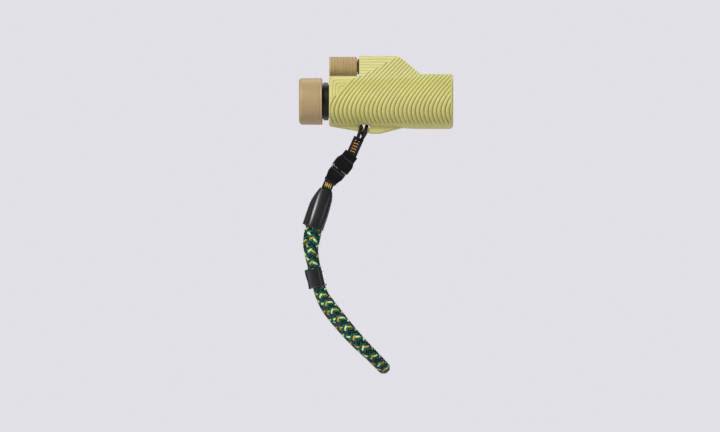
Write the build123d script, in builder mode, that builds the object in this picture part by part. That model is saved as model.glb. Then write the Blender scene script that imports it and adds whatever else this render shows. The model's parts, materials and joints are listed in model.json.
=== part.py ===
from build123d import *
from math import acos, asin, atan2, cos, degrees, hypot, pi, radians, sin, tan
import os

# Compact roof-prism binoculars with a wrist strap, in millimetres.
# +X runs along the barrels towards the objectives, +Z is up, the right barrel is at -Y.
# The origin is midway between the barrel axes, where a hand closes round the two barrels.

os.makedirs("parts", exist_ok=True)

SIDES = {"right": -1, "left": 1}

# --- body ---
BARREL_Y = 32.0            # half the distance between the eyepieces, as stored
HINGE_Z = 26.0             # height of the hinge and of the focus wheel above the barrels
BACK_X = -59.9             # eyepiece-end face of the armour
FRONT_X = 31.8             # objective-end face of the armour
STEP_X = -37.7             # wall of the hump, behind which the wheel lies
REAR_R = 18.5
FRONT_R = 20.0
HUMP_Z = 34.0
HUMP_END_X = -8.0          # where the hump's top would meet its front slope
NOSE_X = 7.6               # where that slope meets the top of the barrel
NOSE_Z = 20.0
KNUCKLE_R = HUMP_Z - HINGE_Z
SKIN = 1.8                 # thickness of the rubber armour
LIP = 5.3                  # rubber rim that stands out past the housing at the objective
WALL = 1.7                 # housing wall
FOLD_GAP = 0.3             # between the two barrels' knuckles
LEFT_KNUCKLE = (-28.5, -18.0)
KNUCKLE_FRONT_X = -5.0
BRIDGE_LOW_HINGE = (3.0, 18.6)     # underside of the bridge, next to the hinge, as |y|, z
BRIDGE_LOW_BARREL = (14.6, 6.3)    # and where it meets the barrel
OBJECTIVE_BORE_X = 10.0

# --- strap lug: a keel under the barrel with a slot right through it ---
KEEL_WIDTH = 9.0
KEEL_LOW_X = (-28.0, -22.0)
KEEL_LOW_Z = -23.6
KEEL_END_X = -2.0
KEEL_SETBACK = 0.6         # of the keel from the barrel's rear face
SLOT_X = (-38.0, -29.6)
SLOT_Z = (-20.4, -17.0)

# --- hinge and focusing ---
AXLE_R = 4.0
AXLE_BORE_R = 3.0
SCREW_R = 1.5
RUN = 0.08                 # radial clearance of a running fit
CHAMBER_X = (-15.5, KNUCKLE_FRONT_X - SKIN)
CHAMBER_R = AXLE_R + RUN
NUT_X = -11.0              # middle of the focusing nut and of both lens cells
NUT_LENGTH = 4.4
GROOVE_R = 2.8
GROOVE_WIDTH = 1.7
ARM_R = 0.75
FOCUS_TRAVEL = 1.8
WHEEL_X = (BACK_X, -39.2)
WHEEL_R = 7.4
HUB_R = 6.0
FOLD_RANGE = (-16.3, 19.8)

# --- eyepiece ---
CUP_X = (-82.1, -65.1)
CUP_R = 17.0
CORE_R = 14.6
TUBE_X = (-76.3, -46.0)
TUBE_R = 12.6
NECK_R = 12.0
TUBE_BORE_R = 11.0
CUP_MOUTH_R = TUBE_R + 0.3
CUP_LIP = 1.5              # rubber rolled in over the end of the core
GUIDE_X = (-75.1, -71.3)
GUIDE_R = 13.4
CORE_LIP_X = -70.0         # front face of the lip that holds the guide ring
DIOPTER_X = (-64.2, -60.6)
DIOPTER_R = 13.6
DIOPTER_TRAVEL = 0.8
FIELD_CELL_X = (-63.5, -56.5)
FIELD_LENS_X = (-61.6, -58.6)
FIELD_LENS_R = 9.4
EYE_LENS_X = (-73.2, -70.0)
EYE_RING_X = (-75.6, -73.42)
PIN_R = 0.6

# --- optics inside the barrel ---
BORE_R = REAR_R - SKIN - WALL
OBJECTIVE_R = 13.0
OBJECTIVE_CELL_R = 16.0
OBJECTIVE_X = (13.0, 26.5)
OBJECTIVE_SEAT_X = OBJECTIVE_X[0] + 4.0
OBJECTIVE_LENS_X = (OBJECTIVE_SEAT_X + 0.1, OBJECTIVE_SEAT_X + 4.9)
OBJECTIVE_RING_X = (OBJECTIVE_LENS_X[1] + 0.25, OBJECTIVE_LENS_X[1] + 1.85)
SEAL_X = OBJECTIVE_X[0] + 7.9
SEAL_GROOVE_R = 15.1
PRISM_X = (-36.0, -20.0)
PRISM_HALF = 7.0

# --- strap, from the lug down ---
STRAP_Y = -BARREL_Y
WEB_WIDTH = 7.8
WEB_THICK = 2.4
WEB_TOP = (-37.7, -27.2)
BUCKLE_TOP = (-42.9, -38.8)
BUCKLE_END = (-59.7, -60.3)
FERRULE_TOP = (-61.9, -65.4)
FERRULE_END = (-71.2, -93.8)
ROPE_D = 9.6
LUG_CORD_D = 2.2
SLIDER_LENGTH = 14.6


def write(name, piece):
    """Label one finished piece and write it as a STEP file."""
    piece.part.label = name
    export_step(piece.part, f"parts/{name}.step")


def rod_x(radius, x_from, x_to, y=0.0, z=0.0, mode=Mode.ADD):
    """A cylinder along X in the part that is being built."""
    with BuildSketch(Plane.YZ.offset(x_from)) as disc:
        with Locations((y, z)):
            Circle(radius)
    extrude(disc.sketch, amount=x_to - x_from, mode=mode)


def tube_x(outer, inner, x_from, x_to, y=0.0, z=0.0):
    """A plain ring or sleeve along X."""
    with BuildPart() as ring:
        rod_x(outer, x_from, x_to, y, z)
        rod_x(inner, x_from, x_to, y, z, Mode.SUBTRACT)
    return ring


def turned(points, y=0.0, z=0.0, mode=Mode.ADD):
    """A body of revolution about a line along X, from (x, radius) points."""
    with BuildSketch(Plane.XZ.offset(-y)) as profile:
        with BuildLine():
            Polyline(*[(x, z + r) for x, r in points], close=True)
        make_face()
    revolve(profile.sketch, axis=Axis((0, y, z), (1, 0, 0)), mode=mode)


def lens(radius, x_rear, x_front, rear_sag, front_sag, y):
    """A lens between two flats of its rim, each face bulging or hollow by its sag."""
    with BuildPart() as glass:
        with BuildSketch(Plane.XZ.offset(-y)) as profile:
            with BuildLine():
                Line((x_rear - rear_sag, 0), (x_front + front_sag, 0))
                sagitta_face(x_front, front_sag, radius)
                Line((x_front, radius), (x_rear, radius))
                sagitta_face(x_rear, -rear_sag, radius)
            make_face()
        revolve(profile.sketch, axis=Axis((0, y, 0), (1, 0, 0)))
    return glass


def sagitta_face(x_rim, sag, radius):
    """Half of a spherical face's section, from the axis out to the rim."""
    curve_r = (radius ** 2 + sag ** 2) / (2 * abs(sag))
    sign = 1 if sag > 0 else -1
    half = asin(radius / curve_r) / 2
    middle_x = x_rim + sag - sign * curve_r * (1 - cos(half))
    ThreePointArc((x_rim + sag, 0), (middle_x, curve_r * sin(half)), (x_rim, radius))


# ---------------------------------------------------------------- barrel shells

def bridge_outline(side, inset):
    """Section of the bridge in Y, Z: from the hinge down to the barrel's axis."""
    reach = hypot(BARREL_Y, HINGE_Z)
    lean = atan2(HINGE_Z, BARREL_Y) + acos((REAR_R - KNUCKLE_R) / reach)
    out_y, out_z = -cos(lean), sin(lean)
    low_run = hypot(BRIDGE_LOW_BARREL[0] - BRIDGE_LOW_HINGE[0],
                    BRIDGE_LOW_BARREL[1] - BRIDGE_LOW_HINGE[1])
    in_y = (BRIDGE_LOW_HINGE[1] - BRIDGE_LOW_BARREL[1]) / low_run
    in_z = (BRIDGE_LOW_BARREL[0] - BRIDGE_LOW_HINGE[0]) / low_run
    knuckle = KNUCKLE_R - inset
    barrel = REAR_R - inset
    half = [
        (0.0, HINGE_Z),
        (out_y * knuckle, HINGE_Z + out_z * knuckle),
        (BARREL_Y + out_y * barrel, out_z * barrel),
        (BARREL_Y, 0.0),
        (BRIDGE_LOW_BARREL[0] + in_y * inset, BRIDGE_LOW_BARREL[1] + in_z * inset),
        (BRIDGE_LOW_HINGE[0] + in_y * inset, BRIDGE_LOW_HINGE[1] + in_z * inset),
    ]
    return [(side * y, z) for y, z in half]


def build_bridge(side, inset):
    """The wing from one barrel to the hinge, with the knuckles that this barrel owns."""
    start = STEP_X + inset
    with BuildPart() as bridge:
        with BuildSketch(Plane.YZ.offset(start)) as section:
            with BuildLine():
                Polyline(*bridge_outline(side, inset), close=True)
            make_face()
            with Locations((0, HINGE_Z)):
                Circle(KNUCKLE_R - inset)
        extrude(section.sketch, amount=NOSE_X + 10 - start)
        with BuildSketch(Plane.XZ) as profile:
            with BuildLine():
                Polyline((start, -10), (start, HUMP_Z - inset),
                         (HUMP_END_X - inset * 0.4, HUMP_Z - inset),
                         (NOSE_X - inset * 0.9, NOSE_Z - inset * 0.35),
                         (NOSE_X - inset, -10), close=True)
            make_face()
            crest = profile.vertices().group_by(Axis.Y)[-1].sort_by(Axis.X)[-1]
            fillet(crest, 10 - inset)
        extrude(profile.sketch, amount=80, both=True, mode=Mode.INTERSECT)
        clear = KNUCKLE_R + FOLD_GAP + inset
        if side == SIDES["right"]:
            rod_x(clear, LEFT_KNUCKLE[0] - FOLD_GAP, LEFT_KNUCKLE[1] + FOLD_GAP,
                  z=HINGE_Z, mode=Mode.SUBTRACT)
            rod_x(clear, KNUCKLE_FRONT_X - inset, NOSE_X + 20, z=HINGE_Z, mode=Mode.SUBTRACT)
        else:
            rod_x(clear, STEP_X - 5, LEFT_KNUCKLE[0], z=HINGE_Z, mode=Mode.SUBTRACT)
            rod_x(clear, LEFT_KNUCKLE[1], NOSE_X + 20, z=HINGE_Z, mode=Mode.SUBTRACT)
    return bridge


def build_form(side, inset):
    """One barrel with its bridge and its lug, set in all round by a thickness."""
    y = side * BARREL_Y
    back = BACK_X + inset
    front = FRONT_X - (LIP if inset else 0.0)
    with BuildPart() as form:
        with BuildSketch(Plane.XZ.offset(-y)) as profile:
            with BuildLine():
                Polyline((back, 0), (back, REAR_R - inset), (STEP_X, REAR_R - inset),
                         (NOSE_X, FRONT_R - inset), (front, FRONT_R - inset), (front, 0),
                         close=True)
            make_face()
            ends = profile.vertices().filter_by(lambda v: v.Y > 1).sort_by(Axis.X)
            fillet([ends[0], ends[-1]], 1.6)
        revolve(profile.sketch, axis=Axis((0, y, 0), (1, 0, 0)))
        with BuildSketch(Plane.XZ.offset(-y)) as keel:
            with BuildLine():
                Polyline((back + KEEL_SETBACK, -REAR_R + 1.5), (back + KEEL_SETBACK, -REAR_R + inset + 0.4),
                         (KEEL_LOW_X[0], KEEL_LOW_Z + inset), (KEEL_LOW_X[1], KEEL_LOW_Z + inset),
                         (KEEL_END_X, -REAR_R + inset), (KEEL_END_X, -10),
                         (back + KEEL_SETBACK, -10), close=True)
            make_face()
        extrude(keel.sketch, amount=KEEL_WIDTH / 2 - inset, both=True)
        add(build_bridge(side, inset).part)
    return form


def cut_lug_slot(y):
    """The strap's slot, right through the keel along Y."""
    with BuildSketch(Plane.XZ.offset(-y)) as slot:
        with Locations(((SLOT_X[0] + SLOT_X[1]) / 2, (SLOT_Z[0] + SLOT_Z[1]) / 2)):
            RectangleRounded(SLOT_X[1] - SLOT_X[0], SLOT_Z[1] - SLOT_Z[0], 1.5)
    extrude(slot.sketch, amount=KEEL_WIDTH + 8, both=True, mode=Mode.SUBTRACT)


def arm_plane(side, distance):
    """Plane across the line from the barrel's axis to the hinge's."""
    reach = hypot(BARREL_Y, HINGE_Z)
    way = (0, -side * BARREL_Y / reach, HINGE_Z / reach)
    return Plane(origin=(NUT_X, side * BARREL_Y, 0), x_dir=(1, 0, 0), z_dir=way).offset(distance)


def cut_arm_channel(side, start, end):
    """The slot along which the arm of the focusing lens cell travels."""
    with BuildSketch(arm_plane(side, start)) as channel:
        Rectangle(2 * (ARM_R + FOCUS_TRAVEL) + 0.5, 2 * ARM_R + 0.7)
    extrude(channel.sketch, amount=end - start, mode=Mode.SUBTRACT)


def cut_fold_window():
    """The window in the right barrel's knuckle through which the left arm swings."""
    rest = -degrees(atan2(HINGE_Z, BARREL_Y))
    low = radians(rest + FOLD_RANGE[0] - 12)
    high = radians(rest + FOLD_RANGE[1] + 12)
    far = 1.5 * KNUCKLE_R
    half_x = ARM_R + FOCUS_TRAVEL + 0.25
    with BuildSketch(Plane.YZ.offset(NUT_X - half_x)) as window:
        with BuildLine():
            Polyline((0, HINGE_Z), (far * cos(low), HINGE_Z + far * sin(low)),
                     (far * cos(high), HINGE_Z + far * sin(high)), close=True)
        make_face()
    extrude(window.sketch, amount=2 * half_x, mode=Mode.SUBTRACT)


def cut_shell(side):
    """The holes that housing and armour share: eyepiece, hinge, focusing arm and lug."""
    y = side * BARREL_Y
    reach = hypot(BARREL_Y, HINGE_Z)
    rod_x(NECK_R, BACK_X - 1, BACK_X + 10, y, mode=Mode.SUBTRACT)
    cut_lug_slot(y)
    if side == SIDES["right"]:
        rod_x(AXLE_R, STEP_X - 1, CHAMBER_X[0] + 1, z=HINGE_Z, mode=Mode.SUBTRACT)
        rod_x(CHAMBER_R, CHAMBER_X[0], KNUCKLE_FRONT_X + 1, z=HINGE_Z, mode=Mode.SUBTRACT)
        cut_arm_channel(side, BORE_R - 2, reach - AXLE_R + 1)
        cut_fold_window()
    else:
        rod_x(AXLE_R + RUN, LEFT_KNUCKLE[0] - 1, LEFT_KNUCKLE[1] + 1, z=HINGE_Z,
              mode=Mode.SUBTRACT)
        cut_arm_channel(side, BORE_R - 2, reach - KNUCKLE_R + 1)


for name, side in SIDES.items():
    y = side * BARREL_Y
    inner_form = build_form(side, SKIN)
    outer_form = build_form(side, 0.0)

    with BuildPart() as housing:
        add(inner_form.part)
        rod_x(BORE_R, BACK_X + 4.4, OBJECTIVE_BORE_X, y, mode=Mode.SUBTRACT)
        rod_x(OBJECTIVE_CELL_R, OBJECTIVE_BORE_X, FRONT_X, y, mode=Mode.SUBTRACT)
        cut_shell(side)
    write(f"{name}_housing", housing)

    with BuildPart() as armour:
        add(outer_form.part)
        add(inner_form.part, mode=Mode.SUBTRACT)
        rod_x(OBJECTIVE_CELL_R - 0.8, FRONT_X - LIP - 1, FRONT_X + 1, y, mode=Mode.SUBTRACT)
        cut_shell(side)
    write(f"{name}_armour", armour)


# ---------------------------------------------------------------- optics

def build_objective_cell(y):
    """Seat of the objective, screwed into the front of the housing."""
    start, end = OBJECTIVE_X
    with BuildPart() as cell:
        rod_x(OBJECTIVE_CELL_R, start, end, y)
        rod_x(OBJECTIVE_R - 1, start, end, y, mode=Mode.SUBTRACT)
        rod_x(OBJECTIVE_R, OBJECTIVE_SEAT_X, end, y, mode=Mode.SUBTRACT)
        turned([(SEAL_X - 0.5, SEAL_GROOVE_R), (SEAL_X + 0.5, SEAL_GROOVE_R),
                (SEAL_X + 0.5, OBJECTIVE_CELL_R + 1), (SEAL_X - 0.5, OBJECTIVE_CELL_R + 1)],
               y, mode=Mode.SUBTRACT)
    return cell


def build_objective_ring(y):
    """Threaded retaining ring with two spanner notches."""
    start, end = OBJECTIVE_RING_X
    with BuildPart() as ring:
        rod_x(OBJECTIVE_R, start, end, y)
        rod_x(OBJECTIVE_R - 0.9, start, end, y, mode=Mode.SUBTRACT)
        with BuildSketch(Plane.YZ.offset((start + end) / 2)) as notches:
            with Locations((y, OBJECTIVE_R), (y, -OBJECTIVE_R)):
                Rectangle(1.6, 3.0)
        extrude(notches.sketch, amount=1, mode=Mode.SUBTRACT)
    return ring


def build_seal(y):
    """O-ring in the groove of the objective cell."""
    with BuildPart() as seal:
        with BuildSketch(Plane.XZ.offset(-y)) as section:
            with Locations((SEAL_X, SEAL_GROOVE_R + 0.45)):
                Circle(0.42)
        revolve(section.sketch, axis=Axis((0, y, 0), (1, 0, 0)))
    return seal


def build_prism_cage(y):
    """Moulded carrier: two apertured end walls joined by two side rails."""
    rear, front = PRISM_X
    with BuildPart() as cage:
        rod_x(BORE_R, rear - 2.5, front + 2.5, y)
        with BuildSketch(Plane.XY.offset(-BORE_R - 1)) as pocket:
            with Locations(((rear + front) / 2, y)):
                Rectangle(front - rear, 2 * PRISM_HALF)
        extrude(pocket.sketch, amount=2 * BORE_R + 2, mode=Mode.SUBTRACT)
        rod_x(PRISM_HALF - 0.8, rear - 3, front + 3, y, mode=Mode.SUBTRACT)
    return cage


def build_half_penta_prism(y):
    """First prism of the roof pair, whose flat front meets the light from the objective."""
    front = PRISM_X[1]
    with BuildPart() as prism:
        with BuildSketch(Plane.XZ.offset(-y - PRISM_HALF)) as section:
            with BuildLine():
                Polyline((front, -7), (front, 7), (front - 9.66, 11), (front - 14.5, 11),
                         (front - 14.5, 7.5), close=True)
            make_face()
        extrude(section.sketch, amount=2 * PRISM_HALF)
    return prism


def build_schmidt_prism(y):
    """Second prism, with its roof edge along the bottom and its rear face to the eyepiece."""
    rear = PRISM_X[0]
    roof_start, roof_end = (rear, -10.0), (rear + 13.1, -4.6)
    with BuildPart() as prism:
        with BuildSketch(Plane.XZ.offset(-y - PRISM_HALF)) as section:
            with BuildLine():
                Polyline((rear, 8.5), roof_start, roof_end, close=True)
            make_face()
        extrude(section.sketch, amount=2 * PRISM_HALF)
        way = Vector(roof_end[0] - roof_start[0], 0, roof_end[1] - roof_start[1]).normalized()
        for tilt in (-1, 1):
            up = Vector(-way.Z, 0, way.X)
            normal = (up * -1 + Vector(0, tilt, 0)).normalized()
            face = Plane(origin=(roof_start[0], y, roof_start[1]), x_dir=way, z_dir=normal)
            split(bisect_by=face, keep=Keep.BOTTOM)
    return prism


def build_focus_cell(side):
    """Sliding ring of the focusing lens, with the arm that runs to the nut's groove."""
    y = side * BARREL_Y
    reach = hypot(BARREL_Y, HINGE_Z)
    with BuildPart() as cell:
        rod_x(BORE_R - 0.07, NUT_X - 2, NUT_X + 2, y)
        with BuildSketch(arm_plane(side, BORE_R - 2)) as arm:
            Circle(ARM_R)
        extrude(arm.sketch, amount=reach - GROOVE_R - 0.15 - (BORE_R - 2))
        rod_x(TUBE_BORE_R, NUT_X - 2, NUT_X + 2, y, mode=Mode.SUBTRACT)
    return cell


for name, side in SIDES.items():
    y = side * BARREL_Y
    write(f"{name}_objective_cell", build_objective_cell(y))
    write(f"{name}_objective_lens", lens(OBJECTIVE_R, *OBJECTIVE_LENS_X, 0.6, 1.6, y))
    write(f"{name}_objective_ring", build_objective_ring(y))
    write(f"{name}_objective_seal", build_seal(y))
    write(f"{name}_prism_cage", build_prism_cage(y))
    write(f"{name}_half_penta_prism", build_half_penta_prism(y))
    write(f"{name}_schmidt_prism", build_schmidt_prism(y))
    write(f"{name}_focus_cell", build_focus_cell(side))
    write(f"{name}_focus_lens", lens(TUBE_BORE_R, NUT_X - 1.6, NUT_X + 1.6, -0.8, -0.5, y))


# ---------------------------------------------------------------- eyepieces

def build_eyepiece_tube(y, pin_slot):
    """Fixed tube of the eyepiece, flanged inside the housing and grooved for the cup's guide."""
    start, end = TUBE_X
    with BuildPart() as tube:
        turned([(start, TUBE_BORE_R), (start, TUBE_R), (DIOPTER_X[0] - 0.2, TUBE_R),
                (DIOPTER_X[0] - 0.2, NECK_R), (BACK_X + 4.4, NECK_R), (BACK_X + 4.4, BORE_R),
                (BACK_X + 6.9, BORE_R), (BACK_X + 6.9, TUBE_R), (end, TUBE_R),
                (end, TUBE_BORE_R)], y)
        with BuildSketch(Plane.YZ.offset(start)) as grooves:
            with Locations((y, 0)):
                with PolarLocations(TUBE_R, 3):
                    Rectangle(1.4, 1.6)
        extrude(grooves.sketch, amount=10, mode=Mode.SUBTRACT)
        if pin_slot:
            with BuildSketch(Plane.XY.offset(TUBE_BORE_R - 1)) as slot:
                with Locations(((DIOPTER_X[0] + DIOPTER_X[1]) / 2, y)):
                    SlotOverall(2 * (PIN_R + DIOPTER_TRAVEL) + 0.3, 2 * PIN_R + 0.2)
            extrude(slot.sketch, amount=4, mode=Mode.SUBTRACT)
    return tube


def build_field_cell(y, clearance, pin):
    """Ring that holds the field lens; on the right its pin rides in the diopter ring."""
    start, end = FIELD_CELL_X
    with BuildPart() as cell:
        rod_x(TUBE_BORE_R - clearance, start, end, y)
        if pin:
            with BuildSketch(Plane.XY.offset(TUBE_BORE_R - 2)) as peg:
                with Locations(((DIOPTER_X[0] + DIOPTER_X[1]) / 2, y)):
                    Circle(PIN_R)
            extrude(peg.sketch, amount=DIOPTER_R - 0.75 - (TUBE_BORE_R - 2))
        rod_x(FIELD_LENS_R, start, end, y, mode=Mode.SUBTRACT)
    return cell


def build_diopter_ring(y, bore):
    """Turning ring on the neck, hollow inside for the pin, with a low index rib on top."""
    start, end = DIOPTER_X
    with BuildPart() as ring:
        rod_x(DIOPTER_R, start, end, y)
        rod_x(bore, start, end, y, mode=Mode.SUBTRACT)
        turned([(start + 0.3, 11), (start + 0.3, 12.95), (end - 0.3, 12.95), (end - 0.3, 11)],
               y, mode=Mode.SUBTRACT)
    return ring


def build_eyecup_guide(y):
    """Sliding ring, kept from turning by three keys in the tube's grooves."""
    with BuildPart() as guide:
        with BuildSketch(Plane.YZ.offset(GUIDE_X[0])) as section:
            with Locations((y, 0)):
                Circle(GUIDE_R)
                Circle(TUBE_R + RUN, mode=Mode.SUBTRACT)
                with PolarLocations(TUBE_R + 0.1, 3):
                    Rectangle(1.1, 1.3)
        extrude(section.sketch, amount=GUIDE_X[1] - GUIDE_X[0])
    return guide


def build_eyecup_core(y):
    """Stiff core of the eyecup, which turns on the guide ring between two lips."""
    lip = TUBE_R + 0.2
    with BuildPart() as core:
        turned([(CUP_X[0] + CUP_LIP, lip + 0.1), (CUP_X[0] + CUP_LIP, CORE_R), (CUP_X[1], CORE_R),
                (CUP_X[1], CORE_R - 0.6), (CORE_LIP_X, CORE_R - 0.6), (CORE_LIP_X, lip),
                (GUIDE_X[1] + 0.1, lip), (GUIDE_X[1] + 0.1, GUIDE_R + RUN),
                (GUIDE_X[0] - 0.1, GUIDE_R + RUN), (GUIDE_X[0] - 0.1, lip + 0.1)], y)
    return core


def build_eyecup(y):
    """Rubber sleeve of the eyecup, rolled in over the core at the eye's end."""
    with BuildPart() as cup:
        turned([(CUP_X[0], CUP_MOUTH_R), (CUP_X[0], CUP_R), (CUP_X[1], CUP_R),
                (CUP_X[1], CORE_R), (CUP_X[0] + CUP_LIP, CORE_R),
                (CUP_X[0] + CUP_LIP, CUP_MOUTH_R)], y)
        rims = cup.edges().filter_by(GeomType.CIRCLE).filter_by(
            lambda e: abs(e.radius - CUP_R) < 0.01).sort_by(Axis.X)
        fillet(rims[0], 2.6)
        fillet(rims[-1], 0.7)
    return cup


for name, side in SIDES.items():
    y = side * BARREL_Y
    is_right = name == "right"
    write(f"{name}_eyepiece_tube", build_eyepiece_tube(y, is_right))
    write(f"{name}_field_cell", build_field_cell(y, 0.06 if is_right else 0.0, is_right))
    write(f"{name}_field_lens", lens(FIELD_LENS_R, *FIELD_LENS_X, 0.9, 0.9, y))
    write(f"{name}_eye_lens", lens(TUBE_BORE_R, *EYE_LENS_X, 1.0, 0.8, y))
    write(f"{name}_eye_lens_ring", tube_x(TUBE_BORE_R, TUBE_BORE_R - 1, *EYE_RING_X, y))
    write(f"{name}_eyecup_guide", build_eyecup_guide(y))
    write(f"{name}_eyecup_core", build_eyecup_core(y))
    write(f"{name}_eyecup", build_eyecup(y))
write("diopter_ring", build_diopter_ring(-BARREL_Y, NECK_R + RUN))
write("left_neck_ring", build_diopter_ring(BARREL_Y, NECK_R))


# ---------------------------------------------------------------- hinge and focus wheel

write("hinge_axle", tube_x(AXLE_R, AXLE_BORE_R, WHEEL_X[0] + 2.7, CHAMBER_X[0], z=HINGE_Z))
write("wheel_collar", tube_x(5.6, AXLE_R, STEP_X - 1.2, STEP_X, z=HINGE_Z))

with BuildPart() as front_cap:
    rod_x(CHAMBER_R, CHAMBER_X[1], KNUCKLE_FRONT_X + 0.2, z=HINGE_Z)
    chamfer(front_cap.edges().sort_by(Axis.X)[-1], 0.3)
write("hinge_front_cap", front_cap)

with BuildPart() as washers:
    for x in (LEFT_KNUCKLE[0] - FOLD_GAP, LEFT_KNUCKLE[1] + 0.05):
        rod_x(6.0, x, x + FOLD_GAP - 0.05, z=HINGE_Z)
    rod_x(AXLE_R, LEFT_KNUCKLE[0] - 1, LEFT_KNUCKLE[1] + 1, z=HINGE_Z, mode=Mode.SUBTRACT)
write("hinge_washers", washers)

with BuildPart() as hub:
    rod_x(HUB_R, WHEEL_X[0] + 0.6, WHEEL_X[1], z=HINGE_Z)
    rod_x(AXLE_R + RUN, WHEEL_X[0] + 2.4, WHEEL_X[1], z=HINGE_Z, mode=Mode.SUBTRACT)
    rod_x(SCREW_R, WHEEL_X[0], WHEEL_X[1], z=HINGE_Z, mode=Mode.SUBTRACT)
write("focus_wheel_hub", hub)

with BuildPart() as wheel:
    turned([(WHEEL_X[0], 5.2), (WHEEL_X[0], WHEEL_R), (WHEEL_X[1], WHEEL_R), (WHEEL_X[1], HUB_R),
            (WHEEL_X[0] + 0.6, HUB_R), (WHEEL_X[0] + 0.6, 5.2)], z=HINGE_Z)
    rims = wheel.edges().filter_by(GeomType.CIRCLE).filter_by(
        lambda e: abs(e.radius - WHEEL_R) < 0.01)
    fillet(rims, 0.9)
write("focus_wheel", wheel)

with BuildPart() as wheel_cap:
    rod_x(5.2, WHEEL_X[0], WHEEL_X[0] + 0.6, z=HINGE_Z)
write("wheel_cap", wheel_cap)

with BuildPart() as screw:
    rod_x(SCREW_R, WHEEL_X[0] + 0.6, CHAMBER_X[1] - 0.4, z=HINGE_Z)
write("focus_screw", screw)

with BuildPart() as nut:
    half, groove = NUT_LENGTH / 2, GROOVE_WIDTH / 2
    bore = SCREW_R + RUN
    turned([(NUT_X - half, bore), (NUT_X - half, AXLE_R), (NUT_X - groove, AXLE_R),
            (NUT_X - groove, GROOVE_R), (NUT_X + groove, GROOVE_R), (NUT_X + groove, AXLE_R),
            (NUT_X + half, AXLE_R), (NUT_X + half, bore)], z=HINGE_Z)
write("focus_nut", nut)


# ---------------------------------------------------------------- wrist strap

def strap_plane(start, end):
    """Plane with X down the strap from start to end, Y across it, and Z towards -Y."""
    way = Vector(end[0] - start[0], 0, end[1] - start[1]).normalized()
    return Plane(origin=(start[0], STRAP_Y, start[1]), x_dir=way, z_dir=(0, -1, 0))


def span(start, end):
    return hypot(end[0] - start[0], end[1] - start[1])


def cord_path(name, points, diameter):
    """Straight runs joined by tangent arcs, each as large as its two runs allow."""
    knots = [Vector(*p) for p in points]
    radii = []
    for before, here, after in zip(knots, knots[1:], knots[2:]):
        turn = radians((here - before).get_angle(after - here))
        shorter = min((here - before).length, (after - here).length)
        radii.append(0.45 * shorter / tan(turn / 2))
    print(name, "radii in diameters:", [round(r / diameter, 1) for r in radii])
    return knots, radii


def build_cord(name, points, diameter):
    """A round cord along a hand-set route."""
    knots, radii = cord_path(name, points, diameter)
    with BuildPart() as cord:
        with BuildLine() as path:
            FilletPolyline(*knots, radius=radii)
        route = path.wires()[0]
        start = Plane(origin=knots[0], z_dir=knots[1] - knots[0])
        with BuildSketch(start) as section:
            Circle(diameter / 2)
        sweep(section.sketch, path=route)
    expected = pi * diameter ** 2 / 4 * route.length
    print(f"{name}: length {route.length:.1f}, volume {cord.part.volume:.0f} of {expected:.0f}")
    return cord


# The lug cord goes twice through the slot and round the bar under it.
LUG_CORD_ROUTE = [
    (-38.8, -33.0, -29.0), (-38.3, -36.8, -26.0), (-36.9, -38.4, -22.6), (-36.4, -38.4, -18.7),
    (-35.9, -25.6, -18.7), (-35.2, -25.6, -25.4), (-33.6, -38.4, -25.6), (-32.4, -38.4, -18.7),
    (-31.7, -25.6, -18.7), (-32.6, -25.8, -23.6), (-34.6, -28.0, -26.6), (-36.6, -31.0, -29.6),
]

# The rope leaves the ferrule, runs through the collar, round the wrist loop and back.
COLLAR_RUN = ((-73.5, -112.0), (-66.6, -141.5))
ROPE_ROUTE = [
    (-68.2, -37.2, -88.5), (-71.1, -37.3, -102.0), (-73.3, -37.3, -112.0),
    (-66.6, -37.3, -141.5), (-58.7, -44.0, -151.8), (-49.6, -55.8, -163.4),
    (-38.6, -61.4, -176.7), (-26.7, -55.8, -189.2), (-19.4, -41.1, -197.1),
    (-19.6, -22.9, -197.3), (-27.2, -8.2, -189.9), (-40.0, -2.6, -178.4),
    (-51.7, -8.2, -165.7), (-61.5, -20.0, -153.4), (-66.6, -26.7, -141.5),
    (-73.7, -26.7, -112.0), (-75.2, -26.7, -102.0), (-71.4, -26.8, -88.5),
]
lug_cord = build_cord("lug_cord", LUG_CORD_ROUTE, LUG_CORD_D)
write("lug_cord", lug_cord)
wrist_rope = build_cord("wrist_rope", ROPE_ROUTE, ROPE_D)
write("wrist_rope", wrist_rope)

with BuildPart() as upper_webbing:
    with BuildSketch(strap_plane(WEB_TOP, BUCKLE_TOP).offset(-WEB_THICK / 2)) as band:
        with Locations(((span(WEB_TOP, BUCKLE_TOP) + 2.0) / 2, 0)):
            Rectangle(span(WEB_TOP, BUCKLE_TOP) + 2.0, WEB_WIDTH)
    extrude(band.sketch, amount=WEB_THICK)
    add(lug_cord.part, mode=Mode.SUBTRACT)
write("upper_webbing", upper_webbing)

buckle = strap_plane(BUCKLE_TOP, BUCKLE_END)
BUCKLE_LENGTH = span(BUCKLE_TOP, BUCKLE_END)
BUCKLE_THICK = 5.6
BUCKLE_HALF = 7.0
BUCKLE_NECK_HALF = 5.5
SOCKET_X = (0.4, 15.2)     # distances down the strap from the buckle's top
THROAT_X = (5.4, 15.8)
THROAT_DEPTH = 3.4
WINDOW_X = (7.7, 13.1)
PLUG_X = 15.3
PLUG_HALF = 6.3
PLUG_END_HALF = 4.9
STEM_X = (7.6, PLUG_X + 1)
PRONG_TIP_X = 7.2
BARB_X = (10.4, 12.6)
PRONG_ROOT = (14.2, 4.3)
PRONG_THICK = 2.8

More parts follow.
